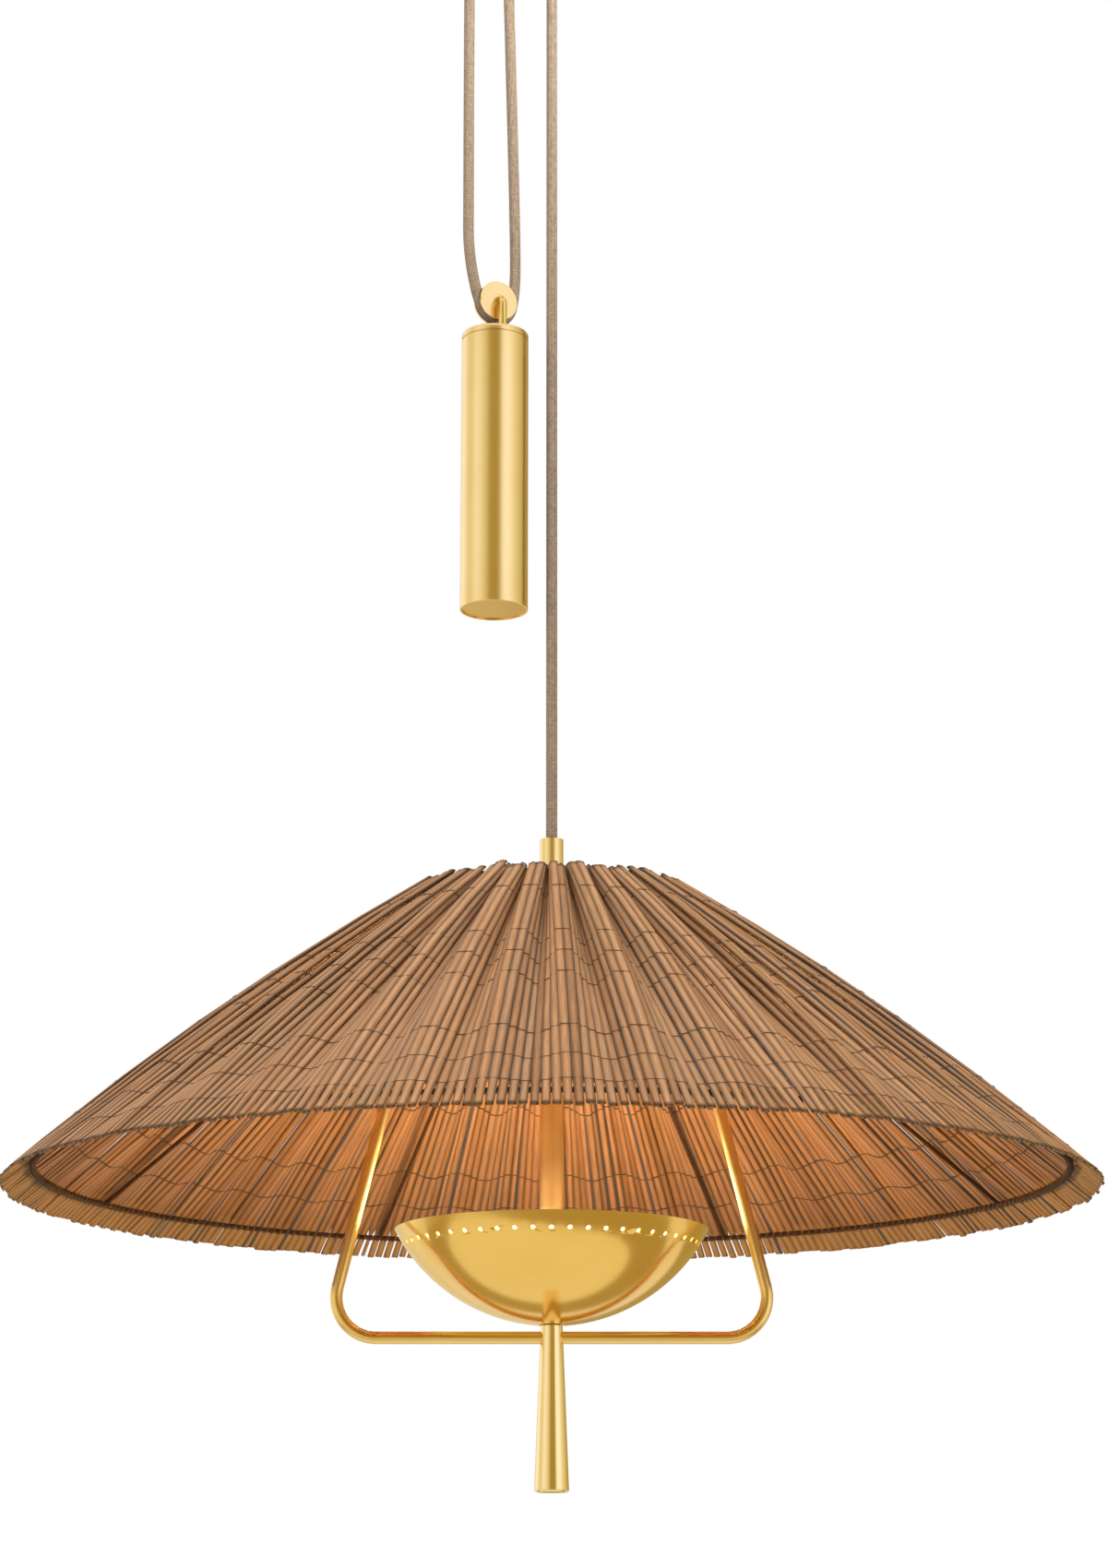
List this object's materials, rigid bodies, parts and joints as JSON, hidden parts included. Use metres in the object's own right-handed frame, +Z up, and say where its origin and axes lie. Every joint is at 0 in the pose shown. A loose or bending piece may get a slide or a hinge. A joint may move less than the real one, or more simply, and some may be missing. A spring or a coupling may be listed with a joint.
{
  "type": "counterweight pendant light",
  "caption": "Rise-and-fall pendant light with a conical gathered slat shade, pierced brass bowl, stirrup pull handle and a brass counterweight on a wheel.",
  "frame": {"origin": "centre of the mounting plate's face against the ceiling", "axes": "+Z up into the ceiling, -Y towards the viewer of the picture, +X to the viewer's right"},
  "size_m": [0.762, 0.762, 1.2257],
  "materials": {
    "polished_brass": "polished",
    "satin_brass": "satin",
    "steel": "satin",
    "slat_wood": "satin",
    "hoop_cane": "matte",
    "dark_wire": "satin",
    "cord_fabric": "matte",
    "white_plastic": "matte",
    "bulb_glass": "gloss"
  },
  "bodies": {
    "ceiling": {"mounting_plate": "steel", "canopy_cup": "polished_brass", "canopy_studs": "steel", "canopy_nuts": "polished_brass", "cord_bushes": "polished_brass", "pulley_bracket": "steel", "bracket_rivets": "steel", "pulley_axle": "steel", "axle_ring": "steel", "terminal_block": "white_plastic", "anchor_gland": "polished_brass", "gland_nut": "steel", "lamp_cord": "cord_fabric", "wheel_cord": "cord_fabric", "weight_cord": "cord_fabric"},
    "top_wheel": {"top_wheel": "polished_brass", "top_wheel_bush": "polished_brass"},
    "weight": {"weight_tube": "polished_brass", "weight_cap": "polished_brass", "weight_base": "polished_brass", "weight_core": "steel", "weight_bail": "polished_brass", "bail_nut": "steel", "axle_cap": "polished_brass"},
    "weight_wheel": {"weight_wheel": "polished_brass", "weight_wheel_bush": "polished_brass"},
    "lamp": {"cord_collar": "polished_brass", "cord_grip": "white_plastic", "stem": "satin_brass", "stem_plug": "steel", "spider_hub": "satin_brass", "hub_screws": "steel", "spider_bars": "dark_wire", "top_ring": "dark_wire", "bottom_hoop": "hoop_cane", "shade_ribs": "dark_wire", "ridge_slats": "slat_wood", "outer_fold_slats": "slat_wood", "inner_fold_slats": "slat_wood", "valley_slats": "slat_wood", "left_arm": "polished_brass", "right_arm": "polished_brass", "arm_ferrules": "polished_brass", "arm_screws": "steel", "bowl": "satin_brass", "bowl_washer": "steel", "handle_stud": "steel", "pull_handle": "polished_brass", "plate_collar": "steel", "socket_plate": "steel", "socket_1": "white_plastic", "socket_2": "white_plastic", "socket_3": "white_plastic", "bulb_1": "bulb_glass", "bulb_2": "bulb_glass", "bulb_3": "bulb_glass"}
  },
  "joints": [
    {"name": "lamp_lift", "type": "slide", "parent": "ceiling", "child": "lamp", "axis": [0, 0, 1], "range_m": [-0.45, 0.13], "deforming": ["lamp_cord"]},
    {"name": "weight_drop", "type": "slide", "parent": "ceiling", "child": "weight", "axis": [0, 0, 1], "range_m": [-0.065, 0.225], "deforming": ["weight_cord"]},
    {"name": "weight_wheel_turn", "type": "hinge", "parent": "weight", "child": "weight_wheel", "pos_m": [-0.0108, 0, -0.3495], "axis": [-0.4679, 0.8838, 0], "continuous": true},
    {"name": "top_wheel_turn", "type": "hinge", "parent": "ceiling", "child": "top_wheel", "pos_m": [0.0146, 0, -0.03], "axis": [0, 1, 0], "continuous": true}
  ],
  "couplings": [
    {"joint": "weight_drop", "follows": "lamp_lift", "ratio": -0.5},
    {"joint": "weight_wheel_turn", "follows": "lamp_lift", "rad_per_m": 35.971},
    {"joint": "top_wheel_turn", "follows": "lamp_lift", "rad_per_m": -58.48}
  ]
}
